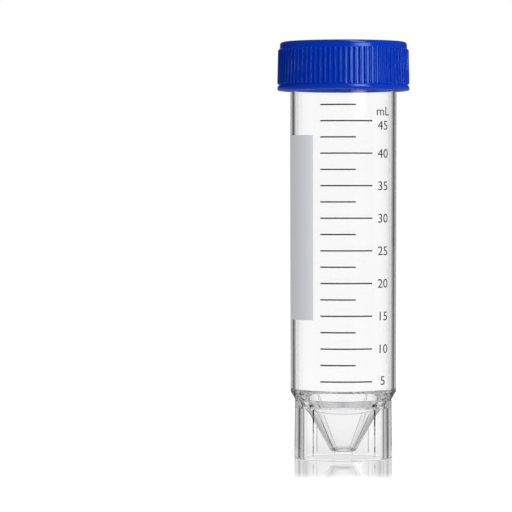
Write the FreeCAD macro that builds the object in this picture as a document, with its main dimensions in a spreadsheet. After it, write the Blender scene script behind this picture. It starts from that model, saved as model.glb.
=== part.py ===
"""50 ml conical tube with a support skirt and a ribbed screw cap.

The tube is one clear moulding: a long barrel, a shoulder, a conical tip that hangs inside an
open skirt, and four ribs that tie the tip to the skirt. The cap is one opaque moulding: a ribbed
shell with a plug ring that seats in the tube's mouth.

Frame: origin at the centre of the skirt's foot ring, +Z up along the tube's axis. Millimetres.
"""

import FreeCAD
import Part
import Sketcher
import math
import os
from FreeCAD import Vector

# Driving dimensions: alias, value, meaning. Lengths are in millimetres and angles in degrees.
DIMENSIONS = [
    # barrel of the tube
    ("barrel_radius", 14.72, "outer radius of the barrel, which racks and rotor sleeves take"),
    ("bore_radius", 13.38, "inner radius of the barrel"),
    ("rim_height", 113.60, "height of the rim over the foot"),
    ("rim_bevel", 0.40, "bevel on the rim's two edges"),
    # shoulder and skirt
    ("shoulder_top", 18.50, "height where the barrel turns in to the skirt"),
    ("shoulder_foot", 16.20, "height where the shoulder meets the skirt"),
    ("shoulder_rounding", 1.60, "rounding between shoulder and skirt"),
    ("skirt_top_radius", 13.40, "outer radius of the skirt under the shoulder"),
    ("skirt_foot_radius", 13.59, "outer radius of the skirt at the foot"),
    ("skirt_bore_radius", 10.90, "inner radius of the skirt"),
    ("foot_bevel", 0.25, "bevel on the foot ring's two edges"),
    # inside of the tip
    ("funnel_top", 19.20, "height where the bore turns in to the funnel"),
    ("cone_top", 14.40, "height where the funnel turns down into the cone"),
    ("cone_top_radius", 9.20, "inner radius at the top of the cone"),
    ("cone_floor", 3.00, "height of the small flat inner floor"),
    ("cone_floor_radius", 3.00, "inner radius of the cone at its floor"),
    ("funnel_rounding", 1.50, "rounding at the two ends of the funnel"),
    ("cone_floor_rounding", 0.80, "rounding round the inner floor"),
    # outside of the tip and the hollow round it
    ("tip_foot", 1.90, "height of the underside of the tip"),
    ("tip_foot_radius", 4.00, "outer radius of the tip at its underside"),
    ("tip_rounding", 0.80, "rounding of the tip's lower edge"),
    ("tip_knee", 12.50, "height where the outside of the tip turns out"),
    ("tip_knee_radius", 9.50, "outer radius of the tip at that height"),
    ("hollow_top", 14.60, "height of the top of the hollow between tip and skirt"),
    # ribs between tip and skirt
    ("rib_count", 4, "number of ribs"),
    ("rib_turn", 45.0, "angle of the first rib from the front"),
    ("rib_thickness", 0.90, "thickness of a rib at its lower end"),
    ("rib_draft", 1.0, "how much each side of a rib leans, thicker upwards"),
    ("rib_foot", 1.00, "height of a rib's lower end"),
    ("rib_inner_radius", 3.40, "where a rib starts, inside the wall of the tip"),
    ("rib_outer_radius", 11.90, "where a rib ends, inside the wall of the skirt"),
    # shell of the cap
    ("cap_foot", 101.90, "height of the cap's lower edge"),
    ("cap_top", 115.50, "height of the cap's flat top"),
    ("cap_foot_bevel", 0.35, "bevel of the lower edge"),
    ("cap_top_round", 0.90, "how far the rounding of the top edge reaches in and down"),
    ("cap_top_facet", 0.26, "the same for the middle line of that rounding, which has two facets"),
    ("lip_radius", 18.40, "largest radius of the plain lip below the grip ribs"),
    ("lip_draft", 0.10, "how much narrower the lip is at its lower edge"),
    ("lip_height", 1.00, "height of the lip's widest line over the lower edge"),
    ("lip_slope", 0.50, "height of the slope from the lip in to the shell"),
    ("shell_foot_radius", 17.90, "outer radius of the shell just above the lip"),
    ("shell_top_radius", 17.64, "outer radius of the shell at the top edge"),
    ("cap_bore_radius", 16.75, "inner radius of the shell, at the root of its thread"),
    ("cap_lead_in", 0.60, "bevel that guides the cap on to the tube"),
    ("cap_ceiling", 113.90, "height of the underside of the cap's top"),
    # plug ring that seals in the mouth
    ("plug_outer_radius", 13.20, "outer radius of the plug ring"),
    ("plug_inner_radius", 12.30, "inner radius of the plug ring"),
    ("plug_foot", 110.40, "height of the plug ring's lower end"),
    ("plug_taper", 0.45, "how far the plug ring narrows at its lower end"),
    ("plug_taper_height", 1.20, "height of that narrowing"),
    # mark of the moulding gate
    ("gate_radius", 1.60, "radius of the shallow recess at the gate"),
    ("gate_depth", 0.30, "depth of that recess"),
    # grip ribs of the cap
    ("grip_count", 80, "number of grip ribs"),
    ("grip_foot", 103.50, "height where a grip rib rises out of the shell"),
    ("grip_top", 113.60, "height where it runs out again"),
    ("grip_foot_radius", 18.36, "radius over the grip ribs at their lower ends"),
    ("grip_top_radius", 18.10, "radius over the grip ribs at their upper ends"),
    ("grip_bevel", 0.60, "how far the 45 degree slope at each end of a grip rib reaches"),
    ("grip_step", 0.05, "step left where that slope meets the shell"),
    ("grip_sink", 0.25, "how deep a grip rib is rooted in the shell"),
    ("grip_width", 0.76, "width of a grip rib at its root, which is sunk in the shell"),
    ("grip_lean", 16.0, "lean of a grip rib's two flanks"),
]

SHEET = "dimensions"


def make_sheet(doc):
    """Writes the driving dimensions to the document's spreadsheet, one row each."""
    sheet = doc.addObject("Spreadsheet::Sheet", SHEET)
    for row, (alias, value, meaning) in enumerate(DIMENSIONS, start=1):
        sheet.set(f"A{row}", alias)
        sheet.set(f"B{row}", str(value))
        sheet.set(f"C{row}", meaning)
        sheet.setAlias(f"B{row}", alias)
    doc.recompute()
    return sheet


def cell(expression):
    """An expression on the sheet's aliases, such as "cap_foot + lip_height"."""
    words = expression.split()
    return " ".join(f"{SHEET}.{word}" if word[0].isalpha() else word for word in words)


def origin_feature(body, role):
    """One of the body's own origin planes or axes, found by its role, such as XZ_Plane."""
    return next(item for item in body.Origin.OriginFeatures if item.Role == role)


def new_sketch(body, name, role):
    """An empty sketch of the body, flat on one of its own origin planes."""
    sketch = body.newObject("Sketcher::SketchObject", name)
    sketch.AttachmentSupport = [(origin_feature(body, role), "")]
    sketch.MapMode = "FlatFace"
    return sketch


def bind(sketch, constraint, name, expression):
    """Adds a dimension to the sketch and ties it to the sheet."""
    index = sketch.addConstraint(constraint)
    sketch.renameConstraint(index, name)
    sketch.setExpression(f"Constraints.{name}", cell(expression))


def closed_outline(sketch, corners):
    """Draws straight lines through the corners, in order, and joins their ends."""
    first = sketch.GeometryCount
    count = len(corners)
    for index, corner in enumerate(corners):
        following = corners[(index + 1) % count]
        sketch.addGeometry(Part.LineSegment(Vector(*corner, 0), Vector(*following, 0)), False)
    for index in range(count):
        following = first + (index + 1) % count
        sketch.addConstraint(Sketcher.Constraint("Coincident", first + index, 2, following, 1))


def turned_outline(body, name, corners):
    """A closed outline of straight lines in the XZ plane, to be turned about Z.

    Each corner is a radius and a height, as expressions on the sheet. An empty radius puts the
    corner on the axis, and an empty height puts it on the foot plane. Corners are joined in order.
    """
    sketch = new_sketch(body, name, "XZ_Plane")
    places = [(value_of(body, radius), value_of(body, height)) for radius, height in corners]
    closed_outline(sketch, places)
    for index, (radius, height) in enumerate(corners):
        across, up = places[index]
        if radius:
            bind(sketch, Sketcher.Constraint("DistanceX", index, 1, across), f"radius_{index}", radius)
        else:
            sketch.addConstraint(Sketcher.Constraint("PointOnObject", index, 1, -2))
        if height:
            bind(sketch, Sketcher.Constraint("DistanceY", index, 1, up), f"height_{index}", height)
        else:
            sketch.addConstraint(Sketcher.Constraint("PointOnObject", index, 1, -1))
    return sketch


def value_of(body, expression):
    """The number that an expression on the sheet gives, or 0 where it is empty."""
    return float(body.evalExpression(cell(expression))) if expression else 0.0


def turn(body, kind, name, sketch):
    """Turns an outline about Z: a Revolution adds it and a Groove cuts it away."""
    before = body.Tip.Shape.Volume if kind == "Groove" else 0.0
    feature = body.newObject(f"PartDesign::{kind}", name)
    feature.Profile = sketch
    feature.ReferenceAxis = (sketch, ["V_Axis"])
    feature.Angle = 360.0
    sketch.Visibility = False
    body.Document.recompute()
    if kind == "Groove" and not feature.Shape.Volume < before:
        raise RuntimeError(f"{name} cut nothing")
    return feature


def ring_edge(feature, radius, height):
    """The name of the feature's circular edge that has this radius and height."""
    for index, edge in enumerate(feature.Shape.Edges, start=1):
        curve = edge.Curve
        if not isinstance(curve, Part.Circle):
            continue
        if abs(curve.Radius - radius) < 0.02 and abs(curve.Center.z - height) < 0.02:
            return f"Edge{index}"
    raise RuntimeError(f"{feature.Name} has no ring edge of radius {radius} at height {height}")


def finish_rings(body, kind, name, size, rings):
    """Rounds (Fillet) or bevels (Chamfer) circular edges. Each ring is a radius and a height."""
    base = body.Tip
    edges = [ring_edge(base, value_of(body, radius), value_of(body, height)) for radius, height in rings]
    feature = body.newObject(f"PartDesign::{kind}", name)
    feature.Base = (base, edges)
    feature.setExpression({"Fillet": "Radius", "Chamfer": "Size"}[kind], cell(size))
    body.Document.recompute()
    return feature


def around_axis(body, name, originals, count_alias):
    """Repeats features evenly about the body's Z axis."""
    pattern = body.newObject("PartDesign::PolarPattern", name)
    pattern.Originals = originals
    pattern.Axis = (origin_feature(body, "Z_Axis"), [""])
    pattern.Angle = 360.0
    pattern.setExpression("Occurrences", cell(count_alias))
    body.Tip = pattern
    body.Document.recompute()
    return pattern


def make_tube(doc):
    """The clear moulding: outside first, then the hollow of the skirt, the ribs and the bore."""
    body = doc.addObject("PartDesign::Body", "tube")
    body.Label = "tube"
    outside = turned_outline(body, "tube_outside", [
        ("", ""),
        ("skirt_foot_radius", ""),
        ("skirt_top_radius", "shoulder_foot"),
        ("barrel_radius", "shoulder_top"),
        ("barrel_radius", "rim_height"),
        ("", "rim_height"),
    ])
    turn(body, "Revolution", "barrel_and_skirt", outside)
    finish_rings(body, "Fillet", "shoulder_blend", "shoulder_rounding", [
        ("skirt_top_radius", "shoulder_foot"),
    ])
    hollow = turned_outline(body, "hollow_outline", [
        ("", ""),
        ("skirt_bore_radius", ""),
        ("skirt_bore_radius", "hollow_top"),
        ("tip_knee_radius", "tip_knee"),
        ("tip_foot_radius", "tip_foot"),
        ("", "tip_foot"),
    ])
    turn(body, "Groove", "skirt_hollow", hollow)
    finish_rings(body, "Fillet", "tip_edge", "tip_rounding", [("tip_foot_radius", "tip_foot")])
    add_ribs(body)
    inside = turned_outline(body, "inside_outline", [
        ("", "cone_floor"),
        ("cone_floor_radius", "cone_floor"),
        ("cone_top_radius", "cone_top"),
        ("bore_radius", "funnel_top"),
        ("bore_radius", "rim_height"),
        ("", "rim_height"),
    ])
    turn(body, "Groove", "bore_and_cone", inside)
    finish_rings(body, "Fillet", "funnel_blends", "funnel_rounding", [
        ("cone_top_radius", "cone_top"),
        ("bore_radius", "funnel_top"),
    ])
    finish_rings(body, "Fillet", "floor_blend", "cone_floor_rounding", [
        ("cone_floor_radius", "cone_floor"),
    ])
    finish_rings(body, "Chamfer", "rim_edges", "rim_bevel", [
        ("barrel_radius", "rim_height"),
        ("bore_radius", "rim_height"),
    ])
    finish_rings(body, "Chamfer", "foot_edges", "foot_bevel", [
        ("skirt_foot_radius", ""),
        ("skirt_bore_radius", ""),
    ])
    return body


def add_ribs(body):
    """Ribs between tip and skirt, drawn in plan and padded up, each side leaning by the draft."""
    sketch = new_sketch(body, "rib_plan", "XY_Plane")
    sketch.setExpression("AttachmentOffset.Base.z", cell("rib_foot"))
    sketch.setExpression("AttachmentOffset.Rotation.Angle", cell("rib_turn"))
    near = value_of(body, "rib_inner_radius")
    far = value_of(body, "rib_outer_radius")
    half = value_of(body, "rib_thickness") / 2
    closed_outline(sketch, [(near, -half), (far, -half), (far, half), (near, half)])
    sketch.addConstraint(Sketcher.Constraint("Horizontal", 0))
    sketch.addConstraint(Sketcher.Constraint("Horizontal", 2))
    sketch.addConstraint(Sketcher.Constraint("Vertical", 3))
    sketch.addConstraint(Sketcher.Constraint("Symmetric", 1, 1, 1, 2, -1))
    bind(sketch, Sketcher.Constraint("DistanceX", 0, 1, near), "inner", "rib_inner_radius")
    bind(sketch, Sketcher.Constraint("DistanceX", 0, 2, far), "outer", "rib_outer_radius")
    bind(sketch, Sketcher.Constraint("DistanceY", 1, 1, 1, 2, 2 * half), "thickness", "rib_thickness")
    rib = body.newObject("PartDesign::Pad", "rib")
    rib.Profile = sketch
    rib.setExpression("Length", cell("hollow_top - rib_foot"))
    rib.setExpression("TaperAngle", cell("rib_draft"))
    sketch.Visibility = False
    body.Document.recompute()
    around_axis(body, "ribs", [rib], "rib_count")


def make_cap(doc):
    """The opaque moulding: shell, inside with the plug ring, gate recess and grip ribs."""
    body = doc.addObject("PartDesign::Body", "screw_cap")
    body.Label = "screw_cap"
    outside = turned_outline(body, "cap_outside", [
        ("", "cap_foot"),
        ("lip_radius - lip_draft", "cap_foot"),
        ("lip_radius", "cap_foot + lip_height"),
        ("shell_foot_radius", "cap_foot + lip_height + lip_slope"),
        ("shell_top_radius", "cap_top - cap_top_round"),
        ("shell_top_radius - cap_top_facet", "cap_top - cap_top_facet"),
        ("shell_top_radius - cap_top_round", "cap_top"),
        ("", "cap_top"),
    ])
    turn(body, "Revolution", "shell", outside)
    finish_rings(body, "Chamfer", "cap_foot_edge", "cap_foot_bevel", [
        ("lip_radius - lip_draft", "cap_foot"),
    ])
    inside = turned_outline(body, "cap_inside", [
        ("", "cap_foot"),
        ("cap_bore_radius + cap_lead_in", "cap_foot"),
        ("cap_bore_radius", "cap_foot + cap_lead_in"),
        ("cap_bore_radius", "cap_ceiling"),
        ("plug_outer_radius", "cap_ceiling"),
        ("plug_outer_radius", "plug_foot + plug_taper_height"),
        ("plug_outer_radius - plug_taper", "plug_foot"),
        ("plug_inner_radius", "plug_foot"),
        ("plug_inner_radius", "cap_ceiling"),
        ("", "cap_ceiling"),
    ])
    turn(body, "Groove", "cap_hollow", inside)
    gate = turned_outline(body, "gate_outline", [
        ("", "cap_top - gate_depth"),
        ("gate_radius", "cap_top - gate_depth"),
        ("gate_radius", "cap_top"),
        ("", "cap_top"),
    ])
    turn(body, "Groove", "gate_recess", gate)
    add_grip(body)
    return body


def grip_section(body, name, shell_radius, crest_radius, height):
    """A grip rib's section in plan: a base sunk in the shell, two leaning flanks and a crest."""
    sketch = new_sketch(body, name, "XY_Plane")
    sketch.setExpression("AttachmentOffset.Base.z", cell(height))
    lean = value_of(body, "grip_lean")
    base = value_of(body, shell_radius) - value_of(body, "grip_sink")
    top = value_of(body, crest_radius)
    root = value_of(body, "grip_width") / 2
    crest = root - (top - base) * math.tan(math.radians(lean))
    closed_outline(sketch, [(-root, base), (root, base), (crest, top), (-crest, top)])
    sketch.addConstraint(Sketcher.Constraint("Symmetric", 0, 1, 0, 2, -2))
    sketch.addConstraint(Sketcher.Constraint("Symmetric", 2, 1, 2, 2, -2))
    bind(sketch, Sketcher.Constraint("DistanceX", 0, 1, 0, 2, 2 * root), "width", "grip_width")
    bind(sketch, Sketcher.Constraint("Angle", 1, math.radians(90 + lean)), "flank", "90 + grip_lean")
    bind(sketch, Sketcher.Constraint("DistanceY", 0, 1, base), "base", f"{shell_radius} - grip_sink")
    bind(sketch, Sketcher.Constraint("DistanceY", 2, 1, top), "top", crest_radius)
    sketch.Visibility = False
    return sketch


def slope_outline(body, name):
    """The two wedges over the ends of a grip rib, drawn side-on: across is the radius."""
    sketch = new_sketch(body, name, "YZ_Plane")
    ends = [("shell_top_radius", "grip_top", "-"), ("shell_foot_radius", "grip_foot", "+")]
    for number, (shell_radius, height, inwards) in enumerate(ends):
        corners = [
            (f"{shell_radius} + grip_step", height),
            (f"{shell_radius} + grip_step + grip_bevel", f"{height} {inwards} grip_bevel"),
            (f"{shell_radius} + grip_step + grip_bevel", height),
        ]
        first = 3 * number
        closed_outline(sketch, [(value_of(body, across), value_of(body, up)) for across, up in corners])
        for index, (across, up) in enumerate(corners):
            line = first + index
            there = sketch.Geometry[line].StartPoint
            bind(sketch, Sketcher.Constraint("DistanceX", line, 1, there.x), f"radius_{line}", across)
            bind(sketch, Sketcher.Constraint("DistanceY", line, 1, there.y), f"height_{line}", up)
    sketch.Visibility = False
    return sketch


def add_grip(body):
    """Grip ribs: one lofted from its lower to its upper section, its ends sloped, and repeated."""
    lower = grip_section(body, "grip_lower", "shell_foot_radius", "grip_foot_radius", "grip_foot")
    upper = grip_section(body, "grip_upper", "shell_top_radius", "grip_top_radius", "grip_top")
    rib = body.newObject("PartDesign::AdditiveLoft", "grip_rib")
    rib.Profile = lower
    rib.Sections = [upper]
    rib.Ruled = True
    body.Document.recompute()
    before = rib.Shape.Volume
    slopes = body.newObject("PartDesign::Pocket", "grip_slopes")
    slopes.Profile = slope_outline(body, "slope_outline")
    slopes.SideType = "Symmetric"
    slopes.setExpression("Length", cell("2 * grip_width"))
    body.Document.recompute()
    if not slopes.Shape.Volume < before:
        raise RuntimeError("the slopes of the grip rib cut nothing")
    around_axis(body, "grip_ribs", [rib, slopes], "grip_count")


def main():
    doc = FreeCAD.newDocument("conical_tube")
    make_sheet(doc)
    bodies = [make_tube(doc), make_cap(doc)]
    doc.recompute()
    failed = [o.Name for o in doc.Objects if "Invalid" in o.State or "Error" in o.State]
    if failed:
        raise RuntimeError(f"these did not recompute: {failed}")
    os.makedirs("parts", exist_ok=True)
    for body in bodies:
        shape = body.Shape
        if shape.isNull() or not shape.isValid():
            raise RuntimeError(f"{body.Label} has no valid shape")
        shape.exportStep(f"parts/{body.Label}.step")
        print(body.Label, "solids", len(shape.Solids), "volume", round(shape.Volume, 1), shape.BoundBox)


main()
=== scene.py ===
# %% [markdown]
# # A 50 ml conical tube with a ribbed screw cap
# The real object is two plastic mouldings. The tube is clear: a long barrel, and below it a cone
# that hangs inside an open skirt, so that the tube stands by itself. The cap is opaque blue, with
# ribs for the fingers outside, and a thread and a plug ring inside. A volume scale and a write-on
# panel are printed on the barrel.
#
# This file loads the measured model as a fixed frame and gives it its looks. It goes through the
# clear moulding, the cap, the printing, the materials, and last the studio.

# %% Load the frame
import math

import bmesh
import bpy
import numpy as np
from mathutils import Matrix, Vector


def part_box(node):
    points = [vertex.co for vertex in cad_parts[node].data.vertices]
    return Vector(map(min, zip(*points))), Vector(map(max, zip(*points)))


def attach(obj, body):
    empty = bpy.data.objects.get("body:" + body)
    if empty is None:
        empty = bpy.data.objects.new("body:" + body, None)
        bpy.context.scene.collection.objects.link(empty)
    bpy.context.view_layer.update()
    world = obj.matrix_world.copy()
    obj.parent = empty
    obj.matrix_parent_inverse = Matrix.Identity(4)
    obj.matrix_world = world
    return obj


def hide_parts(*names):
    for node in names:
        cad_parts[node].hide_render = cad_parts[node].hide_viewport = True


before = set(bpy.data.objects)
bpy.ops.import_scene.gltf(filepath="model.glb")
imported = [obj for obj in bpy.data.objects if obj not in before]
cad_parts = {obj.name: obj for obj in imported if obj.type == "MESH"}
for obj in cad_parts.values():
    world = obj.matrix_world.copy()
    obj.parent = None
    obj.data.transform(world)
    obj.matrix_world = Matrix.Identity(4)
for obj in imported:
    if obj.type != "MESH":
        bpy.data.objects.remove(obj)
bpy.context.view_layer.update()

# %% [markdown]
# The boxes of the measured tube and cap are read here, before anything is added, and give the
# heights of the tube's foot and rim and of the cap. Lengths of the tube, the cap and the printing are
# written in millimetres, as on a drawing, and turned to metres when a mesh is made. Those of the
# studio are in metres.

MM = 0.001
tube_low, tube_high = (np.array(corner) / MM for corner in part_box("tube"))
cap_low, cap_high = (np.array(corner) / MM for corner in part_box("screw_cap"))
FOOT = tube_low[2]
RIM = tube_high[2]
CAP_FOOT = cap_low[2]
CAP_TOP = cap_high[2]
print(f"tube {FOOT:.2f} to {RIM:.2f} mm high, cap {CAP_FOOT:.2f} to {CAP_TOP:.2f} mm")

# %% [markdown]
# ## Tools for surfaces
# Every shape in this file is a sheet with two parameters: a grid of points whose rows run one way
# and whose columns run the other. A profile turned round an axis is such a grid, and so is a
# section carried along a helix. numpy works out the whole grid at once. This function joins the
# points to four-sided faces and closes the sheet where it comes back on itself.

# %% A mesh from grids of points


def grid_faces(points, first, around, along):
    """Face corners of a grid: each face takes a point and its neighbours in row and column.

    around joins the last row to the first, and along joins the last column to the first.
    """
    rows, columns = points.shape[:2]
    index = first + np.arange(rows * columns).reshape(rows, columns)
    if around:
        index = np.vstack([index, index[:1]])
    if along:
        index = np.hstack([index, index[:, :1]])
    corners = [index[:-1, :-1], index[1:, :-1], index[1:, 1:], index[:-1, 1:]]
    return np.stack(corners, axis=-1).reshape(-1, 4)


def surface(name, grids, around=False, along=False, links=()):
    """One object from a list of grids of points in millimetres.

    links are more faces, which join one grid to another.
    """
    firsts = np.cumsum([0] + [grid.shape[0] * grid.shape[1] for grid in grids])
    points = np.concatenate([grid.reshape(-1, 3) for grid in grids]) * MM
    faces = np.concatenate([grid_faces(g, f, around, along) for g, f in zip(grids, firsts)])
    mesh = bpy.data.meshes.new(name)
    mesh.from_pydata(points.tolist(), [], faces.tolist() + list(links))
    piece = bpy.data.objects.new(name, mesh)
    bpy.context.scene.collection.objects.link(piece)
    return piece


# %% [markdown]
# A pole, where many grid points fall on the axis, has to become one point, and the faces there
# become triangles. Normals are worked out after that, so that they all point out of the plastic.
# Edges that turn by more than a given angle stay sharp, and all others are shaded smooth.

# %% Close, turn outwards and shade
SAME_PLACE = 0.0001 * MM
NO_LENGTH = 0.00001 * MM


def finish_mesh(piece, sharp_degrees):
    """Merges points that coincide, points the faces outwards and shades the piece smooth."""
    shape = bmesh.new()
    shape.from_mesh(piece.data)
    bmesh.ops.remove_doubles(shape, verts=shape.verts, dist=SAME_PLACE)
    bmesh.ops.dissolve_degenerate(shape, edges=shape.edges, dist=NO_LENGTH)
    bmesh.ops.recalc_face_normals(shape, faces=shape.faces)
    shape.to_mesh(piece.data)
    shape.free()
    shade(piece, sharp_degrees)


def shade(piece, sharp_degrees):
    """Smooth shading, with edges sharper than the angle left sharp."""
    mesh = piece.data
    mesh.polygons.foreach_set("use_smooth", np.ones(len(mesh.polygons), dtype=bool))
    mesh.set_sharp_from_angle(angle=math.radians(sharp_degrees))
    triangles = len(mesh.loops) - 2 * len(mesh.polygons)
    print(f"{piece.name}: {len(mesh.vertices)} points, {triangles} triangles")


# %% [markdown]
# ## Profiles
# A moulded edge is never sharp: the cutter that made the mould leaves a radius. So a profile is
# given as corners, each a radius from the axis, a height and a rounding, and this function puts an
# arc into every corner that has one.
#
# Smooth shading blends the normals of neighbouring faces. Where a long face meets an arc, the tilt
# of the arc would spread along the whole face, and clear plastic would bend light where its wall
# is straight. Two more points, just inside the ends of each straight stretch, keep the blend short.

# %% Corners with arcs
ARC_STEP = math.radians(9)
HOLD = 0.15


def arc_at(before, corner, after, rounding):
    """Points of the arc that touches both sides of a corner.

    The arc's centre lies on the corner's bisector, at rounding / sin(half the corner's angle).
    """
    to_before = (before - corner) / np.linalg.norm(before - corner)
    to_after = (after - corner) / np.linalg.norm(after - corner)
    half = math.acos(np.clip(to_before @ to_after, -1, 1)) / 2
    bisector = (to_before + to_after) / np.linalg.norm(to_before + to_after)
    centre = corner + bisector * rounding / math.sin(half)
    start, end = (corner + side * rounding / math.tan(half) - centre for side in (to_before, to_after))
    first = math.atan2(start[1], start[0])
    sweep = (math.atan2(end[1], end[0]) - first + math.pi) % (2 * math.pi) - math.pi
    angles = first + sweep * np.linspace(0, 1, max(3, round(abs(sweep) / ARC_STEP)) + 1)
    return centre + rounding * np.stack([np.cos(angles), np.sin(angles)], axis=1)


def profile(corners):
    """Points of an open profile from corners of (radius, height, rounding)."""
    places = np.array([corner[:2] for corner in corners], dtype=float)
    points = [places[:1]]
    for number in range(1, len(corners) - 1):
        rounding = corners[number][2]
        if rounding:
            points.append(arc_at(*places[number - 1:number + 2], rounding))
        else:
            points.append(places[number:number + 1])
    return held(np.concatenate(points + [places[-1:]]))


def held(points):
    """The profile with a point HOLD inside both ends of each stretch longer than 4 HOLD."""
    result = [points[:1]]
    for start, end in zip(points, points[1:]):
        length = np.linalg.norm(end - start)
        step = (end - start) * HOLD / length
        if length > 4 * HOLD:
            result.append(np.array([start + step, end - step]))
        result.append(end[None])
    return np.concatenate(result)


def turned(outline, angles):
    """A profile turned about Z: x and y are the radius times the cosine and sine of the angle."""
    radius, height = outline[:, 0], outline[:, 1]
    x = np.outer(np.cos(angles), radius)
    y = np.outer(np.sin(angles), radius)
    return np.stack([x, y, np.broadcast_to(height, x.shape)], axis=-1)


# %% [markdown]
# ## The clear moulding
# The tube is injection moulded in one shot: a steel core forms the inside and a cavity the
# outside. The core is drafted, a little narrower at its tip, so that it can be pulled out, and the
# wall is about 1.3 mm thick. It could be a cylinder with a Solidify modifier, but the skirt, the
# shoulder and the cone have walls of different thickness, so the whole section is drawn as one
# profile and turned. In clear plastic both faces of the wall show, and the thickness between them
# makes the dark line along each side.
#
# The section runs from the middle of the tip's underside, up the hollow's inner side, over its
# roof and down the skirt's bore, round the foot, up the outside, over the rim, and down the bore to
# the middle of the cone's floor. Each corner is a radius, a height and a rounding.

# %% Section of the tube
BARREL_TOP_R = 14.80
BARREL_FOOT_R = 14.63
BORE_TOP_R = 13.43
BORE_FOOT_R = 13.28
SHOULDER_TOP = 18.5
SHOULDER_FOOT = 16.4
SKIRT_TOP_R = 13.40
SKIRT_FOOT_R = 13.59
SKIRT_BORE_R = 11.00
FUNNEL_TOP = 19.2
CONE_TOP = 14.4
CONE_TOP_R = 9.2
CONE_FLOOR = 3.0
CONE_FLOOR_R = 2.5
TIP_FOOT = 1.9
TIP_FOOT_R = 3.6
TIP_KNEE = 12.5
TIP_KNEE_R = 9.5
HOLLOW_TOP = 14.20

section = profile([
    (0, TIP_FOOT, 0),
    (TIP_FOOT_R, TIP_FOOT, 0.8),
    (TIP_KNEE_R, TIP_KNEE, 0.8),
    (SKIRT_BORE_R, HOLLOW_TOP, 0.1),
    (SKIRT_BORE_R, FOOT, 0.3),
    (SKIRT_FOOT_R, FOOT, 0.3),
    (SKIRT_TOP_R, SHOULDER_FOOT, 0.3),
    (BARREL_FOOT_R, SHOULDER_TOP, 0.3),
    (BARREL_TOP_R, RIM, 0.4),
    (BORE_TOP_R, RIM, 0.4),
    (BORE_FOOT_R, FUNNEL_TOP, 0.5),
    (CONE_TOP_R, CONE_TOP, 1.0),
    (CONE_FLOOR_R, CONE_FLOOR, 0.8),
    (0, CONE_FLOOR, 0),
])
print(f"tube section: {len(section)} points")
TUBE_STEPS = 384
TUBE_SHARP = 14
tube_angles = np.arange(TUBE_STEPS) * math.tau / TUBE_STEPS
tube = surface("clear_tube", [turned(section, tube_angles)], around=True)
finish_mesh(tube, TUBE_SHARP)

# %% [markdown]
# Four ribs tie the cone to the skirt. Each is a flat web whose inner edge runs inside the cone's
# wall, and a little thicker at its upper end, so that the mould lets it go. A thin box would
# stick out of the cone, so the rib is drawn by its outline. That is the same on both faces, so the
# grid has four rows: the middle of one face, its outline, the other face's outline and its middle.

# %% Ribs of the skirt
RIB_COUNT = 4
RIB_FOOT = 1.0
RIB_THICKNESS = 0.4
RIB_DRAFT = 0.01
RIB_INNER_R = 3.4
RIB_OUTER_R = 11.9
RIB_SINK = 0.4
rib_outline = np.array([
    (RIB_OUTER_R, RIB_FOOT),
    (RIB_OUTER_R, HOLLOW_TOP + RIB_SINK),
    (10.4, HOLLOW_TOP + RIB_SINK),
    (8.9, TIP_KNEE),
    (3.85, CONE_FLOOR),
    (RIB_INNER_R, 2.4),
    (RIB_INNER_R, RIB_FOOT),
])


def rib(angle):
    """A web at this angle: its thickness grows with the height over its foot by RIB_DRAFT."""
    half = (RIB_THICKNESS + RIB_DRAFT * (rib_outline[:, 1] - RIB_FOOT)) / 2
    middle = np.broadcast_to(rib_outline.mean(axis=0), rib_outline.shape)
    out, up = np.stack([middle, rib_outline, rib_outline, middle]).transpose(2, 0, 1)
    middle_half = np.full(len(half), half.mean())
    side = np.stack([-middle_half, -half, half, middle_half])
    x = out * math.cos(angle) - side * math.sin(angle)
    y = out * math.sin(angle) + side * math.cos(angle)
    return np.stack([x, y, up], axis=-1)


rib_angles = math.radians(45) + np.arange(RIB_COUNT) * math.tau / RIB_COUNT
ribs = surface("skirt_ribs", [rib(angle) for angle in rib_angles], along=True)
finish_mesh(ribs, TUBE_SHARP)

# %% [markdown]
# ## Threads
# The cap closes in about one and a quarter turns. The thread on the neck is a rounded ridge, and a
# like ridge in the cap runs beside it. A screw modifier could turn a section to a helix, but the
# ridge has to fade at both ends, as the mould maker's cutter runs out. So it's worked out here: a
# bump-shaped section is carried along a helix, right-handed, and its height over the foot grows
# with the angle by one pitch a turn.

# %% A ridge along a helix
THREAD_PITCH = 3.5
THREAD_TURNS = 2.0
THREAD_WIDTH = 1.5
THREAD_SINK = 0.3
THREAD_FADE = math.radians(40)
THREAD_STEPS = 120
THREAD_SHARP = 40


def ridge(root, crest, foot):
    """A helical ridge from one radius to another, as a closed grid.

    The section's height over its root is a raised cosine to the power 0.6, and it fades over
    THREAD_FADE at both ends. The first and last rows are drawn together to close the ends.
    """
    turn = np.linspace(0, THREAD_TURNS * math.tau, int(THREAD_TURNS * THREAD_STEPS) + 1)
    fade = np.clip(np.minimum(turn, turn[-1] - turn) / THREAD_FADE, 0.02, 1)
    across = np.linspace(-1, 1, 9)
    bump = ((1 + np.cos(across * math.pi)) / 2) ** 0.6
    away = math.copysign(THREAD_SINK, root - crest)
    radial = np.concatenate([[root + away], root + (crest - root) * bump, [root + away]])
    axial = np.concatenate([[-1], across, [1]]) * THREAD_WIDTH / 2
    radius = root + (radial - root) * np.where(radial == root + away, 1, fade[:, None])
    height = foot + THREAD_PITCH * turn[:, None] / math.tau + axial
    x, y = radius * np.cos(turn)[:, None], radius * np.sin(turn)[:, None]
    grid = np.stack([x, y, height], axis=-1)
    ends = [grid[row].mean(axis=0) * np.ones((1, grid.shape[1], 1)) for row in (0, -1)]
    return np.concatenate([ends[0], grid, ends[1]])


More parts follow.
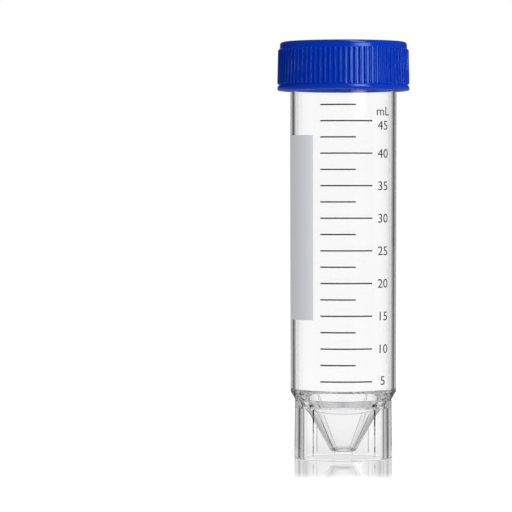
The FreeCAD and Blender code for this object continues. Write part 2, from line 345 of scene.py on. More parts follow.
NECK_THREAD_FOOT = 104.4
NECK_THREAD_R = 16.15
neck_thread = surface("neck_thread", [ridge(BARREL_TOP_R, NECK_THREAD_R, NECK_THREAD_FOOT)], along=True)
finish_mesh(neck_thread, THREAD_SHARP)

# %% [markdown]
# Ribs and thread are one moulding with the tube, and in clear plastic an inner face between two
# overlapping bodies would show as a line that the real tube doesn't have. So they are united with
# the tube by a Boolean modifier, which keeps only the outer skin, and its result becomes the mesh.

# %% Unite the moulding


def unite(piece, *others):
    """Joins overlapping closed pieces into one skin and removes the originals."""
    for other in others:
        union = piece.modifiers.new(f"with_{other.name}", "BOOLEAN")
        union.operation = "UNION"
        union.solver = "EXACT"
        union.object = other
    graph = bpy.context.evaluated_depsgraph_get()
    whole = bpy.data.meshes.new_from_object(piece.evaluated_get(graph))
    piece.modifiers.clear()
    piece.data = whole
    for other in others:
        bpy.data.objects.remove(other)


unite(tube, ribs, neck_thread)
shade(tube, TUBE_SHARP)

# %% [markdown]
# ## The screw cap
# The cap is moulded in blue polyethylene. Around it stand fine ribs for grip, which end in a slope
# below the top edge and above the plain lip. Inside it are the thread and a plug ring, which seals
# in the tube's mouth. One profile runs from the middle of the top, down the outside, round the
# lower edge, up the bore, round the plug ring and to the middle of the ceiling. It's drawn in
# three parts, and the middle one has the rows that the ribs need.

# %% Section of the cap
CEILING = 113.9
GATE_R = 1.6
GATE_DEPTH = 0.3
GRIP_FOOT = 103.5
GRIP_MIDDLE = 108.5
GRIP_TOP = 113.6
GRIP_HEIGHT = 0.46
SHELL_FOOT_R = 17.90
SHELL_TOP_R = 17.64
PLAIN_ABOVE = 0.3
PLAIN_BELOW = 0.05
LIP_HEIGHT = 1.5
LIP_SLOPE_TOP = 1.35
LIP_MIDDLE = 0.8
LIP_R = 18.40
LIP_TOP_R = 18.20
LIP_FOOT_R = 18.30
CAP_MOUTH_R = 17.35
MOUTH_SLOPE = 0.6
CAP_BORE_R = 16.75
PLUG_FOOT = 110.4
PLUG_LEAD = 111.6
PLUG_R = 13.20
PLUG_FOOT_R = 12.75
PLUG_BORE_R = 12.30
slope_rows = np.array([0.0, 0.12, 0.24, 0.36, GRIP_HEIGHT])


def shell_radius(height):
    """The shell's outer radius, which shrinks evenly from the lip to the top by its draft."""
    share = (height - CAP_FOOT - LIP_HEIGHT) / (CAP_TOP - CAP_FOOT - LIP_HEIGHT)
    return SHELL_FOOT_R + (SHELL_TOP_R - SHELL_FOOT_R) * share


grip_rows = np.concatenate([GRIP_TOP - slope_rows, [GRIP_MIDDLE], (GRIP_FOOT + slope_rows)[::-1]])
upper = profile([
    (0, CAP_TOP - GATE_DEPTH, 0),
    (GATE_R, CAP_TOP - GATE_DEPTH, 0.12),
    (GATE_R, CAP_TOP, 0.08),
    (SHELL_TOP_R, CAP_TOP, 0.9),
    (shell_radius(GRIP_TOP + PLAIN_ABOVE), GRIP_TOP + PLAIN_ABOVE, 0),
])
grips = np.stack([shell_radius(grip_rows), grip_rows], axis=1)
lower = profile([
    (shell_radius(GRIP_FOOT - PLAIN_BELOW), GRIP_FOOT - PLAIN_BELOW, 0),
    (LIP_TOP_R, CAP_FOOT + LIP_SLOPE_TOP, 0.15),
    (LIP_R, CAP_FOOT + LIP_MIDDLE, 0.3),
    (LIP_FOOT_R, CAP_FOOT, 0.6),
    (CAP_MOUTH_R, CAP_FOOT, 0.1),
    (CAP_BORE_R, CAP_FOOT + MOUTH_SLOPE, 0.2),
    (CAP_BORE_R, CEILING, 0.5),
    (PLUG_R, CEILING, 0.3),
    (PLUG_R, PLUG_LEAD, 0.3),
    (PLUG_FOOT_R, PLUG_FOOT, 0.15),
    (PLUG_BORE_R, PLUG_FOOT, 0.15),
    (PLUG_BORE_R, CEILING, 0.3),
    (0, CEILING, 0),
])
print(f"cap section: {len(upper) + len(grips) + len(lower)} points")

# %% [markdown]
# The ribs are not separate bars: the same turned grid is pushed outwards where a rib is. A rib is
# narrow, with a crowned crest and steep flanks, and the groove between two ribs is a plain stretch
# of the shell, so the columns are close together over the rib only. Near its ends a rib may only be
# as high as the distance to its end, which gives the 45 degree slope. Above and below the ribs a
# quarter of the columns is enough, and a row of many-sided faces joins the two grids.

# %% Cap with grip ribs
GRIP_COUNT = 80
GRIP_R = 18.0
pitch_angle = math.tau / GRIP_COUNT
rib_edge = np.array([0.08, 0.14, 0.18, 0.22, 0.26, 0.30, 0.36])
rib_height = np.array([0.985, 0.93, 0.82, 0.55, 0.20, 0.06, 0.0])
rib_across = np.concatenate([-rib_edge[::-1], [0], rib_edge, [pitch_angle * GRIP_R / 2]])
rib_up = np.concatenate([rib_height[::-1], [1], rib_height, [0]])
COLUMNS_PER_COARSE = 4
turns = np.arange(GRIP_COUNT)[:, None] * pitch_angle
fine_angles = (rib_across / GRIP_R + turns).ravel()
coarse_angles = fine_angles[::COLUMNS_PER_COARSE]

fine = turned(grips, fine_angles)
allowed = np.maximum(np.minimum(GRIP_TOP - grip_rows, grip_rows - GRIP_FOOT), 0)
lift = np.minimum(np.tile(rib_up, GRIP_COUNT)[:, None] * GRIP_HEIGHT, allowed)
fine[:, :, :2] *= (1 + lift / grips[:, 0])[:, :, None]


def joined(coarse, fine):
    """Faces between a ring of points and one with a whole number of times as many."""
    steps = fine.reshape(len(coarse), -1)
    return np.column_stack([coarse, np.roll(coarse, -1), np.roll(steps[:, 0], -1), steps[:, ::-1]])


first_fine = len(coarse_angles) * len(upper)
first_lower = first_fine + len(fine_angles) * len(grips)
upper_edge = np.arange(len(coarse_angles)) * len(upper) + len(upper) - 1
lower_edge = first_lower + np.arange(len(coarse_angles)) * len(lower)
fine_edge = first_fine + np.arange(len(fine_angles)) * len(grips)
links = joined(upper_edge, fine_edge).tolist() + joined(lower_edge, fine_edge + len(grips) - 1).tolist()
cap_grids = [turned(upper, coarse_angles), fine, turned(lower, coarse_angles)]
cap = surface("ribbed_cap", cap_grids, around=True, links=links)
CAP_SHARP = 35
finish_mesh(cap, CAP_SHARP)

# %% [markdown]
# The cap's own thread runs between two turns of the neck's. It's a little nearer to the upper one,
# because the thread of a tight cap presses up against the neck's from below. It's united with the
# cap as the neck's thread is with the tube.

# %% Thread in the cap
THREAD_PLAY = 0.35
CAP_THREAD_R = 15.35
CAP_THREAD_FOOT = NECK_THREAD_FOOT - THREAD_PITCH / 2 + THREAD_PLAY
cap_thread = surface("cap_thread", [ridge(CAP_BORE_R, CAP_THREAD_R, CAP_THREAD_FOOT)], along=True)
finish_mesh(cap_thread, THREAD_SHARP)
unite(cap, cap_thread)
shade(cap, CAP_SHARP)

# %% [markdown]
# ## Printing
# The scale and the panel are ink, laid on the barrel by screen printing. Ink has a thickness of a
# few hundredths of a millimetre. Each mark is a thin closed slab bent round the barrel: its inner
# face lies just inside the plastic, so that nothing shows between ink and wall, and its outer face
# stands just proud of it.

# %% Ink on a round wall
INK_SINK = 0.01
INK_PROUD = 0.02
INK_STEP = 1.5
INK_SHARP = 30


def barrel_radius(height):
    """Outer radius of the drafted barrel at a height."""
    share = (height - SHOULDER_TOP) / (RIM - SHOULDER_TOP)
    return BARREL_FOOT_R + (BARREL_TOP_R - BARREL_FOOT_R) * share


def on_barrel(angle, height, proud):
    """A point of the wall: the angle runs from the front, positive to the right."""
    radius = barrel_radius(height) + proud
    return np.stack([radius * np.sin(angle), -radius * np.cos(angle), height + 0 * angle], axis=-1)


def patch(left, right, low, high):
    """A slab between two angles in degrees and two heights.

    Its rows run round the barrel, and its four columns are the corners of its section. The first
    and last rows are drawn together to close the ends.
    """
    steps = max(2, round((right - left) / INK_STEP))
    angles = np.radians(np.linspace(left, right, steps + 1))[:, None]
    heights = np.array([[low, low, high, high]])
    proud = np.array([[-INK_SINK, INK_PROUD, INK_PROUD, -INK_SINK]])
    grid = on_barrel(angles, heights, proud)
    ends = [grid[row].mean(axis=0) * np.ones((1, 4, 1)) for row in (0, -1)]
    return np.concatenate([ends[0], grid, ends[1]])


# %% [markdown]
# The scale follows from the bore. Each 2.5 ml line stands over the last by 2500 cubic millimetres
# divided by the bore's area there, so the lines are a little closer together at the wider top.

# %% Scale lines
SCALE_START = 21.8
LINE_HALF = 0.19
SCALE_LEFT = -26.8
MAJOR_RIGHT = 31.2
MINOR_RIGHT = 12.0


def bore_radius(height):
    """Inner radius of the drafted barrel at a height."""
    share = (height - FUNNEL_TOP) / (RIM - FUNNEL_TOP)
    return BORE_FOOT_R + (BORE_TOP_R - BORE_FOOT_R) * share


VOLUME_STEP = 2.5
NUMBERED = 5
CUBIC_MM_PER_ML = 1000
volumes = np.arange(5, 50, VOLUME_STEP)
heights = [SCALE_START]
for volume in volumes[1:]:
    bore_area = math.pi * bore_radius(heights[-1]) ** 2
    heights.append(heights[-1] + VOLUME_STEP * CUBIC_MM_PER_ML / bore_area)
rights = np.where(volumes % NUMBERED == 0, MAJOR_RIGHT, MINOR_RIGHT)
lines = [
    patch(SCALE_LEFT, right, height - LINE_HALF, height + LINE_HALF)
    for right, height in zip(rights, heights)
]
scale_lines = surface("scale_lines", lines, along=True)
finish_mesh(scale_lines, INK_SHARP)
print("line heights", [round(height, 1) for height in heights])

# %% [markdown]
# The numerals are text objects with a little thickness, made into a mesh first and then bent: the
# distance to the right of the front line, divided by the barrel's radius, is the angle. Each stands
# level with its line, but the lowest is printed a little higher and the top one a little lower,
# under the unit.

# %% Numerals
NUMERAL_HEIGHT = 2.45
NUMERAL_MIDDLE = 46.4
NUMERAL_WIDTH = 1.22
CAPITAL_SHARE = 0.70
LOWEST_RAISED = 0.25
TOP_LOWERED = 1.15
UNIT_BASELINE = 94.9


def lettering(words, middle, baseline):
    """Points and faces of a word bent on to the barrel, its middle at an angle in degrees."""
    size = NUMERAL_HEIGHT / CAPITAL_SHARE
    curve = bpy.data.curves.new("lettering", "FONT")
    curve.body = words
    curve.align_x = "CENTER"
    curve.size = size
    curve.extrude = (INK_SINK + INK_PROUD) / 2
    maker = bpy.data.objects.new("lettering", curve)
    mesh = bpy.data.meshes.new_from_object(maker)
    flat = np.empty(len(mesh.vertices) * 3)
    mesh.vertices.foreach_get("co", flat)
    flat = flat.reshape(-1, 3)
    faces = [list(face.vertices) for face in mesh.polygons]
    bpy.data.meshes.remove(mesh)
    bpy.data.objects.remove(maker)
    bpy.data.curves.remove(curve)
    height = baseline + flat[:, 1]
    angle = math.radians(middle) + flat[:, 0] * NUMERAL_WIDTH / barrel_radius(height)
    proud = flat[:, 2] + (INK_PROUD - INK_SINK) / 2
    return on_barrel(angle, height, proud), faces


numbered = [(str(int(volume)), height) for volume, height in zip(volumes, heights) if volume % NUMBERED == 0]
levels = np.array([height for word, height in numbered])
levels[0] += LOWEST_RAISED
levels[-1] -= TOP_LOWERED
words = [
    lettering(word, NUMERAL_MIDDLE, level - NUMERAL_HEIGHT / 2)
    for (word, height), level in zip(numbered, levels)
]
words.append(lettering("mL", NUMERAL_MIDDLE, UNIT_BASELINE))
numeral_points = np.concatenate([points for points, faces in words]) * MM
starts = np.cumsum([0] + [len(points) for points, faces in words]).tolist()
numeral_faces = []
for (points, faces), start in zip(words, starts):
    numeral_faces += [[start + corner for corner in face] for face in faces]
numeral_mesh = bpy.data.meshes.new("scale_numerals")
numeral_mesh.from_pydata(numeral_points.tolist(), [], numeral_faces)
scale_numerals = bpy.data.objects.new("scale_numerals", numeral_mesh)
bpy.context.scene.collection.objects.link(scale_numerals)
finish_mesh(scale_numerals, INK_SHARP)

# %% [markdown]
# The write-on panel is a plain block of white ink, to the left of the scale, for a pencil or a
# marker. It's the same kind of slab as a line, only taller and wider.

# %% Write-on panel
PANEL_LEFT = -117.5
PANEL_RIGHT = -35.7
PANEL_FOOT = 38.6
PANEL_TOP = 89.5
panel_patch = patch(PANEL_LEFT, PANEL_RIGHT, PANEL_FOOT, PANEL_TOP)
writing_panel = surface("writing_panel", [panel_patch], along=True)
finish_mesh(writing_panel, INK_SHARP)

# %% [markdown]
# ## Which body each piece rides on
# The cap lifts off, so everything on it rides on the cap's body, and the printing rides on the
# tube's. The two new mouldings stand for the two plain measured ones.

# %% Ride and replace
for piece in (tube, scale_lines, scale_numerals, writing_panel):
    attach(piece, "tube")
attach(cap, "cap")
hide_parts("tube")
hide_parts("screw_cap")

# %% [markdown]
# ## Materials
# Colours are written as they look on a screen, in sRGB hex, and the shader wants linear light, so
# one function turns them. One more adds a node with its settings and its links, and a third starts
# a material with the one shader that all of these plastics and inks share.

# %% Colour and node helpers


def linear(code):
    """sRGB hex to linear: a low value is divided by 12.92, others follow a power curve of 2.4."""
    channels = np.array([int(code[place:place + 2], 16) for place in (0, 2, 4)]) / 255
    curve = np.where(channels <= 0.04045, channels / 12.92, ((channels + 0.055) / 1.055) ** 2.4)
    return (*curve.tolist(), 1.0)


def add(tree, kind, inputs=(), **settings):
    """Adds a node. inputs maps a socket's name or number to a value, or to what is linked to it.

    What is linked is an output, or a node, which stands for its first output.
    """
    node = tree.nodes.new(kind)
    for name, value in settings.items():
        setattr(node, name, value)
    for socket, value in dict(inputs).items():
        if isinstance(value, bpy.types.Node):
            value = value.outputs[0]
        if isinstance(value, bpy.types.NodeSocket):
            tree.links.new(value, node.inputs[socket])
        else:
            node.inputs[socket].default_value = value
    return node


def plastic(material_name, **values):
    """A material with one Principled shader, and its tree, ready for more nodes."""
    material = bpy.data.materials.new(material_name)
    material.use_nodes = True
    tree = material.node_tree
    tree.nodes.clear()
    sockets = {name.replace("_", " "): value for name, value in values.items()}
    shader = add(tree, "ShaderNodeBsdfPrincipled", sockets)
    add(tree, "ShaderNodeOutputMaterial", {"Surface": shader})
    return material, tree, shader


# %% [markdown]
# The tube is clarified polypropylene. It bends light a little less than glass, with an index of
# about 1.49, and takes a high gloss from the polished steel of the mould. The melt leaves faint
# ripples along the flow, about 6 mm apart and far under a hundredth of a millimetre deep: they
# show only as a slight life in the reflections.

# %% Clarified polypropylene, injection moulded
RIPPLE = 6.0 * MM
RIPPLE_DEPTH = 0.02 * MM
clear, tree, shader = plastic(
    "clarified_polypropylene_moulded",
    Base_Color=(1.0, 1.0, 1.0, 1),
    Roughness=0.03,
    IOR=1.49,
    Transmission_Weight=1.0,
)
place = add(tree, "ShaderNodeTexCoord")
stretch = add(tree, "ShaderNodeMapping", {"Vector": place.outputs["Object"], "Scale": (1, 1, 0.25)})
ripple = add(tree, "ShaderNodeTexNoise", {"Vector": stretch, "Scale": 1 / RIPPLE, "Detail": 1.0})
bump = add(tree, "ShaderNodeBump", {"Height": ripple, "Strength": 0.05, "Distance": RIPPLE_DEPTH})
tree.links.new(bump.outputs[0], shader.inputs["Normal"])
tube.data.materials.append(clear)

# %% [markdown]
# The cap is high-density polyethylene with blue pigment. It's duller than the tube, with a fine
# grain from the mould. The real grain is about 0.1 mm wide, too fine to show, and it's drawn at
# 0.25 mm. The pigment is so strong that even the highlights take some of its colour, which the
# specular tint gives.

# %% Blue polyethylene, injection moulded
GRAIN = 0.25 * MM
GRAIN_DEPTH = 0.02 * MM
blue, tree, shader = plastic(
    "blue_polyethylene_moulded",
    Base_Color=linear("0034B5"),
    Roughness=0.13,
    IOR=1.52,
    Specular_Tint=(0.65, 0.92, 1.0, 1),
)
place = add(tree, "ShaderNodeTexCoord")
noise_inputs = {"Vector": place.outputs["Object"], "Scale": 1 / GRAIN, "Detail": 3.0}
grain = add(tree, "ShaderNodeTexNoise", noise_inputs)
bump = add(tree, "ShaderNodeBump", {"Height": grain, "Strength": 0.15, "Distance": GRAIN_DEPTH})
tree.links.new(bump.outputs[0], shader.inputs["Normal"])
cap.data.materials.append(blue)

# %% [markdown]
# The inks are pressed through a fine screen. The black of the scale is thin and dries with a slight
# sheen. The white of the panel holds chalk, which makes it matt, so that a pencil writes on it.

# %% Printing inks
black_ink = plastic("screen_printed_black_ink", Base_Color=linear("2E3033"), Roughness=0.45)[0]
white_ink = plastic("screen_printed_white_ink", Base_Color=linear("F6F8FC"), Roughness=0.55)[0]
scale_lines.data.materials.append(black_ink)
scale_numerals.data.materials.append(black_ink)
writing_panel.data.materials.append(white_ink)

# %% [markdown]
# ## Studio
# Clear plastic shows only what is behind and around it. So a white field stands straight behind
# the tube, and what is beside it is kept dark: light bent sideways by the wall then comes from the
# dark part, and the edges are drawn in black. Panels and cloths could stand round the tube for
# that, but they would be in the way of other views. Here the world does their work. It's white to
# the camera, and for other rays its level depends on the kind of ray and on its direction.
#
# The Light Path node tells the rays apart by how often they went through a surface, were mirrored
# or were scattered. A ray that went through plastic and was mirrored too has been turned back
# inside a wall.

# %% Kinds of rays


def ray_kinds(tree):
    """Shares of 0 or 1 that tell rays apart: each depth of the Light Path node, cut off at 1.

    The last share is for a ray that went through plastic and was never scattered: the share of
    transmission times 1 less the share of scattering.
    """
    path = add(tree, "ShaderNodeLightPath").outputs
    through, turned_back, scattered = (
        add(tree, "ShaderNodeMath", {0: path[depth], 1: 1.0}, operation="MINIMUM")
        for depth in ("Transmission Depth", "Glossy Depth", "Diffuse Depth")
    )
    straight = add(tree, "ShaderNodeMath", {0: 1.0, 1: scattered}, operation="SUBTRACT")
    passed = add(tree, "ShaderNodeMath", {0: through, 1: straight}, operation="MULTIPLY")
    return path, through, turned_back, scattered, passed


# %% [markdown]
# The levels round about are given as stops, each an angle from +Y, which is straight behind the
# tube, and a level there. CLEAR_STOPS are for a ray that only went through: white behind the tube,
# a dark stretch on both sides, and light again beside it. TURNED_STOPS are for a ray that was
# turned back inside a wall. Their darkest stretch, about 30 degrees off, draws the dark line along
# each edge of the barrel and of the skirt. GLOSS_STOPS are what shiny surfaces mirror: dark walls,
# a pale strip behind the tube, and a window behind the camera to the right.

# %% Levels round about
CLEAR_STOPS = [(38, 1.05), (44, 0.1), (58, 0.1), (63, 0.9), (117, 0.9), (123, 0.4), (180, 0.4)]
TURNED_STOPS = [
    (4, 0.8), (10, 0.7), (17, 0.5), (22, 0.22), (26, 0.06), (32, 0.06), (36, 0.35), (41, 0.55),
    (47, 0.6), (51, 0.25), (54, 0.25), (58, 0.6), (100, 0.6), (110, 0.4), (180, 0.4),
]
GLOSS_STOPS = [
    (-180, 0.02), (-110, 0.02), (-95, 0.08), (-85, 0.08), (-60, 0.02), (-19, 0.02), (-15, 0.5),
    (15, 0.5), (19, 0.02), (50, 0.05), (100, 0.05), (128, 0.02), (136, 4.0), (140, 5.5), (152, 5.5),
    (158, 3.5), (168, 0.02), (180, 0.02),
]


def both_sides(stops):
    """Stops given for one side, repeated for the other."""
    return [(-angle, level) for angle, level in reversed(stops)] + stops


def round_about(tree, turn, stops):
    """A level by direction: the angle over a full turn, plus a half, is the place on a ramp."""
    share = add(tree, "ShaderNodeMath", {0: turn, 1: 1 / math.tau, 2: 0.5}, operation="MULTIPLY_ADD")
    node = add(tree, "ShaderNodeValToRGB", {0: share})
    ramp = node.color_ramp
    ramp.elements.remove(ramp.elements[-1])
    for number, (angle, level) in enumerate(stops):
        place = angle / 360 + 0.5
        stop = ramp.elements.new(place) if number else ramp.elements[0]
        stop.position = place
        stop.color = (level, level, level, 1.0)
    return node


# %% [markdown]
# A smooth step is a Map Range node: sockets 1 and 2 are where the step starts and ends, and 3 and 4
# are the levels there. Heights in the world are the Z part of the direction, 0 at the horizon and 1
# straight up.
#
# The window is an opening with a sill a little above the camera and two panes, with a broad dark
# bar between them. The lower pane lights the cap's rim and its ribs, and the upper one the slope of
# the lip. The bar keeps the cap's flat top blue when it's seen from a low angle.

# %% World and window
SMOOTH = {"interpolation_type": "SMOOTHSTEP"}
SILL = {1: 0.016, 2: 0.03, 3: 0.05, 4: 1.0}
LOWER_PANE = {1: 0.10, 2: 0.15, 3: 1.0, 4: 0.03}
UPPER_PANE = {1: 0.44, 2: 0.54, 3: 0.0, 4: 1.0}
WINDOW_TURN = 2.58
WINDOW_WIDTH = {1: 0.3, 2: 0.4, 3: 1.0, 4: 0.0}

world = bpy.data.worlds.new("studio")
bpy.context.scene.world = world
world.use_nodes = True
tree = world.node_tree
tree.nodes.clear()
direction = add(tree, "ShaderNodeTexCoord").outputs["Generated"]
way = add(tree, "ShaderNodeSeparateXYZ", {0: direction}).outputs
turn = add(tree, "ShaderNodeMath", {0: way["X"], 1: way["Y"]}, operation="ARCTAN2")

above_sill = add(tree, "ShaderNodeMapRange", {0: way["Z"], **SILL}, **SMOOTH)
lower_pane = add(tree, "ShaderNodeMapRange", {0: way["Z"], **LOWER_PANE}, **SMOOTH)
upper_pane = add(tree, "ShaderNodeMapRange", {0: way["Z"], **UPPER_PANE}, **SMOOTH)
panes = add(tree, "ShaderNodeMath", {0: lower_pane, 1: upper_pane}, operation="ADD")
opening = add(tree, "ShaderNodeMath", {0: above_sill, 1: panes}, operation="MULTIPLY")
off_window = add(tree, "ShaderNodeMath", {0: turn, 1: WINDOW_TURN}, operation="SUBTRACT")
off_window = add(tree, "ShaderNodeMath", {0: off_window}, operation="ABSOLUTE")
window = add(tree, "ShaderNodeMapRange", {0: off_window, **WINDOW_WIDTH}, **SMOOTH)
height_share = add(tree, "ShaderNodeMix", {0: window, 2: 1.0, 3: opening})
gloss_level = round_about(tree, turn, GLOSS_STOPS)
gloss_level = add(tree, "ShaderNodeMath", {0: gloss_level, 1: height_share}, operation="MULTIPLY")

# %% [markdown]
# Now each kind of ray gets its level. Matt surfaces gather an even light, stronger from the right,
# and more of it where they are seen through plastic. A ray that only the polished floor has
# mirrored finds white. A steep ray through plastic finds an even grey, as it would between a
# ceiling and a bench. A Mix node picks: its socket 0 is the share, and 2 and 3 are the level at
# share 0 and at share 1.

# %% Level for each kind of ray
AMBIENT_MIDDLE = 0.62
AMBIENT_TO_RIGHT = 0.33
MATT_THROUGH_LEVEL = 1.2
STEEP = {1: 0.2, 2: 0.45, 3: 0.0, 4: 1.0}
STEEP_LEVEL = 0.58

path, through, turned_back, scattered, passed = ray_kinds(tree)
tilt = {0: way["X"], 1: AMBIENT_TO_RIGHT, 2: AMBIENT_MIDDLE}
ambient = add(tree, "ShaderNodeMath", tilt, operation="MULTIPLY_ADD")
glossy_or_not = add(tree, "ShaderNodeMix", {0: path["Is Glossy Ray"], 2: ambient, 3: gloss_level})
matt_level = add(tree, "ShaderNodeMix", {0: through, 2: ambient, 3: MATT_THROUGH_LEVEL})
level = add(tree, "ShaderNodeMix", {0: scattered, 2: glossy_or_not, 3: matt_level})

singular, reflected = path["Is Singular Ray"], path["Is Reflection Ray"]
mirrored = add(tree, "ShaderNodeMath", {0: singular, 1: reflected}, operation="MULTIPLY")
level = add(tree, "ShaderNodeMix", {0: mirrored, 2: level, 3: 1.0})

clear_level = round_about(tree, turn, both_sides(CLEAR_STOPS))
turned_level = round_about(tree, turn, both_sides(TURNED_STOPS))
sector = add(tree, "ShaderNodeMix", {0: turned_back, 2: clear_level, 3: turned_level})
slope = add(tree, "ShaderNodeMath", {0: way["Z"]}, operation="ABSOLUTE")
steep = add(tree, "ShaderNodeMapRange", {0: slope, **STEEP}, **SMOOTH)
seen_level = add(tree, "ShaderNodeMix", {0: steep, 2: sector, 3: STEEP_LEVEL})
level = add(tree, "ShaderNodeMix", {0: passed, 2: level, 3: seen_level})
level = add(tree, "ShaderNodeMix", {0: path["Is Camera Ray"], 2: level, 3: 1.0})
light = add(tree, "ShaderNodeBackground", {"Color": level, "Strength": 1.0})
add(tree, "ShaderNodeOutputWorld", {"Surface": light})
world.cycles.sampling_method = "NONE"
print(f"world: {len(tree.nodes)} nodes")

# %% [markdown]
# The floor is a sheet of white acrylic. It has a dull body, which keeps the tube's shadow, and a
# glow that brings it up to white, so that no edge shows against the backdrop. It's made here as one
# large flat face.
#
# Its level depends on the kind of ray too. Seen through plastic it's as light as the backdrop there,
# so that no horizon shows in the tube, apart from a painted shade round the foot: a little darker
# within a few centimetres of it. Shiny surfaces mirror the floor as nearly dark, apart from a small
# patch round the foot that glows for them alone: a painted pool of light, which shiny parts near the
# floor mirror as a painted highlight.

# %% Glow of the floor
FLOOR_HALF = 3.0
FLOOR_BODY = (0.25, 0.25, 0.25, 1)
OPEN_LEVEL = 0.93
FLOOR_MATT_LEVEL = 0.25
FLOOR_MATT_THROUGH_LEVEL = 1.0
# Painted pool of light: shiny rays find the floor glowing at 0.5 within 3 cm of the axis, 0.04 beyond 6 cm.
FLOOR_GLOW_PATCH_IN_GLOSS = {1: 0.03, 2: 0.06, 3: 0.5, 4: 0.04}
# Painted shade round the foot: through plastic the floor is 0.67 within 3 cm of the axis, 0.74 beyond 9 cm.
FLOOR_IN_PLASTIC_WITH_SHADE = {1: 0.03, 2: 0.09, 3: 0.67, 4: 0.74}

floor_mesh = bpy.data.meshes.new("floor")
floor_corners = np.array([(-1, -1, 0), (1, -1, 0), (1, 1, 0), (-1, 1, 0)]) * FLOOR_HALF
floor_mesh.from_pydata(floor_corners.tolist(), [], [(0, 1, 2, 3)])
floor = bpy.data.objects.new("floor", floor_mesh)
bpy.context.scene.collection.objects.link(floor)

sheet = bpy.data.materials.new("white_acrylic_sheet")
sheet.use_nodes = True
tree = sheet.node_tree
tree.nodes.clear()
path, through, turned_back, scattered, passed = ray_kinds(tree)
spot = add(tree, "ShaderNodeTexCoord").outputs["Object"]
reach = add(tree, "ShaderNodeVectorMath", {0: spot}, operation="LENGTH").outputs["Value"]
# The painted pool of light round the foot, for shiny rays only.
glow_patch_in_gloss = add(tree, "ShaderNodeMapRange", {0: reach, **FLOOR_GLOW_PATCH_IN_GLOSS}, **SMOOTH)
# The floor seen through plastic, with painted shade round the foot.
in_plastic_with_shade = add(tree, "ShaderNodeMapRange", {0: reach, **FLOOR_IN_PLASTIC_WITH_SHADE}, **SMOOTH)
open_level = add(tree, "ShaderNodeMix", {0: path["Is Glossy Ray"], 2: OPEN_LEVEL, 3: glow_patch_in_gloss})
matt_level = add(tree, "ShaderNodeMix", {0: through, 2: FLOOR_MATT_LEVEL, 3: FLOOR_MATT_THROUGH_LEVEL})
level = add(tree, "ShaderNodeMix", {0: scattered, 2: open_level, 3: matt_level})
level = add(tree, "ShaderNodeMix", {0: passed, 2: level, 3: in_plastic_with_shade})
glow = add(tree, "ShaderNodeEmission", {"Strength": level})
body = add(tree, "ShaderNodeBsdfDiffuse", {"Color": FLOOR_BODY})
matt = add(tree, "ShaderNodeAddShader", {0: body, 1: glow})

# %% [markdown]
# The sheet is polished, and mirrors the foot of the tube a little, more at a flat angle, as Fresnel's
# law gives it. The mirror fades out a few centimetres from the tube, so that the floor stays white.
# It's a full mirror to the rays that were turned back inside a wall: the sectors of the world then
# go on below the horizon, and the dark lines of the skirt run down to its foot.

# %% Polish of the floor
POLISH_REACH = {1: 0.05, 2: 0.085, 3: 1.0, 4: 0.0}
POLISH_IOR = 1.3

polish = add(tree, "ShaderNodeMapRange", {0: reach, **POLISH_REACH}, **SMOOTH)
polish = add(tree, "ShaderNodeMath", {0: path["Is Camera Ray"], 1: polish}, operation="MULTIPLY")
fresnel = add(tree, "ShaderNodeFresnel", {"IOR": POLISH_IOR})
share = add(tree, "ShaderNodeMath", {0: fresnel, 1: polish}, operation="MULTIPLY")
inside_wall = add(tree, "ShaderNodeMath", {0: passed, 1: turned_back}, operation="MULTIPLY")
share = add(tree, "ShaderNodeMix", {0: inside_wall, 2: share, 3: 1.0})
mirror = add(tree, "ShaderNodeBsdfGlossy", {"Color": (1, 1, 1, 1), "Roughness": 0.0})
whole = add(tree, "ShaderNodeMixShader", {0: share, 1: matt, 2: mirror})
add(tree, "ShaderNodeOutputMaterial", {"Surface": whole})
floor_mesh.materials.append(sheet)
print(f"floor: {len(tree.nodes)} nodes, {2 * FLOOR_HALF:.0f} m wide")

# %% [markdown]
# One softbox, to the right of the camera and above it, models the cap and lights the inks. It's
# hidden from mirrored rays and from rays through plastic, because the world's window already stands
# for it there.

# %% Softbox
LAMP_TURN = math.radians(34)
LAMP_RISE = math.radians(20)
LAMP_DISTANCE = 0.9
LAMP_WIDTH = 0.4
LAMP_HEIGHT = 0.8
LAMP_POWER = 4.4
LAMP_TARGET = np.array([0, 0, 0.06])

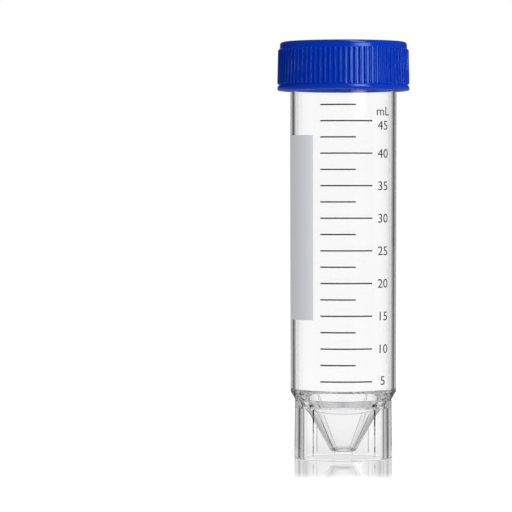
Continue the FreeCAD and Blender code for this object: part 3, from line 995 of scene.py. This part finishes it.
lamp = bpy.data.lights.new("softbox_right", "AREA")
lamp.shape = "RECTANGLE"
lamp.size = LAMP_WIDTH
lamp.size_y = LAMP_HEIGHT
lamp.energy = LAMP_POWER
softbox = bpy.data.objects.new("softbox_right", lamp)
towards = np.array([math.sin(LAMP_TURN), -math.cos(LAMP_TURN)]) * math.cos(LAMP_RISE)
softbox.location = LAMP_TARGET + np.array([*towards, math.sin(LAMP_RISE)]) * LAMP_DISTANCE
softbox.rotation_euler = (math.radians(90) - LAMP_RISE, 0, LAMP_TURN)
softbox.visible_transmission = False
softbox.visible_glossy = False
bpy.context.scene.collection.objects.link(softbox)

# %% [markdown]
# A long lens, about a metre away, keeps the tube's sides straight and nearly parallel. The camera
# stands a little to the left of the tube and above its middle, and looks slightly down. The focal
# length follows from the width that the frame takes in at the tube.

# %% Camera
CAMERA_DISTANCE = 0.970
CAMERA_LEFT = 0.02425
CAMERA_HEIGHT = 0.0725
FRAME_MIDDLE = 0.0561
FRAME_WIDTH = 0.1422
SENSOR = 36.0
lens = bpy.data.cameras.new("camera")
lens.sensor_width = SENSOR
lens.lens = SENSOR * CAMERA_DISTANCE / FRAME_WIDTH
camera = bpy.data.objects.new("camera", lens)
camera.location = (-CAMERA_LEFT, -CAMERA_DISTANCE, CAMERA_HEIGHT)
look_down = math.atan2(CAMERA_HEIGHT - FRAME_MIDDLE, CAMERA_DISTANCE)
camera.rotation_euler = (math.radians(90) - look_down, 0, 0)
bpy.context.scene.collection.objects.link(camera)
bpy.context.scene.camera = camera
print(f"lens {lens.lens:.1f} mm")

# %% [markdown]
# A ray that crosses the foot of the tube meets a dozen walls, so it may bounce more often than
# usual. The Standard view shows colours as they are written.

# %% Render settings
MOST_BOUNCES = 24
GLOSS_BOUNCES = 16
bpy.context.scene.view_settings.view_transform = "Standard"
bpy.context.scene.cycles.max_bounces = MOST_BOUNCES
bpy.context.scene.cycles.transmission_bounces = MOST_BOUNCES
bpy.context.scene.cycles.glossy_bounces = GLOSS_BOUNCES
bpy.context.view_layer.update()
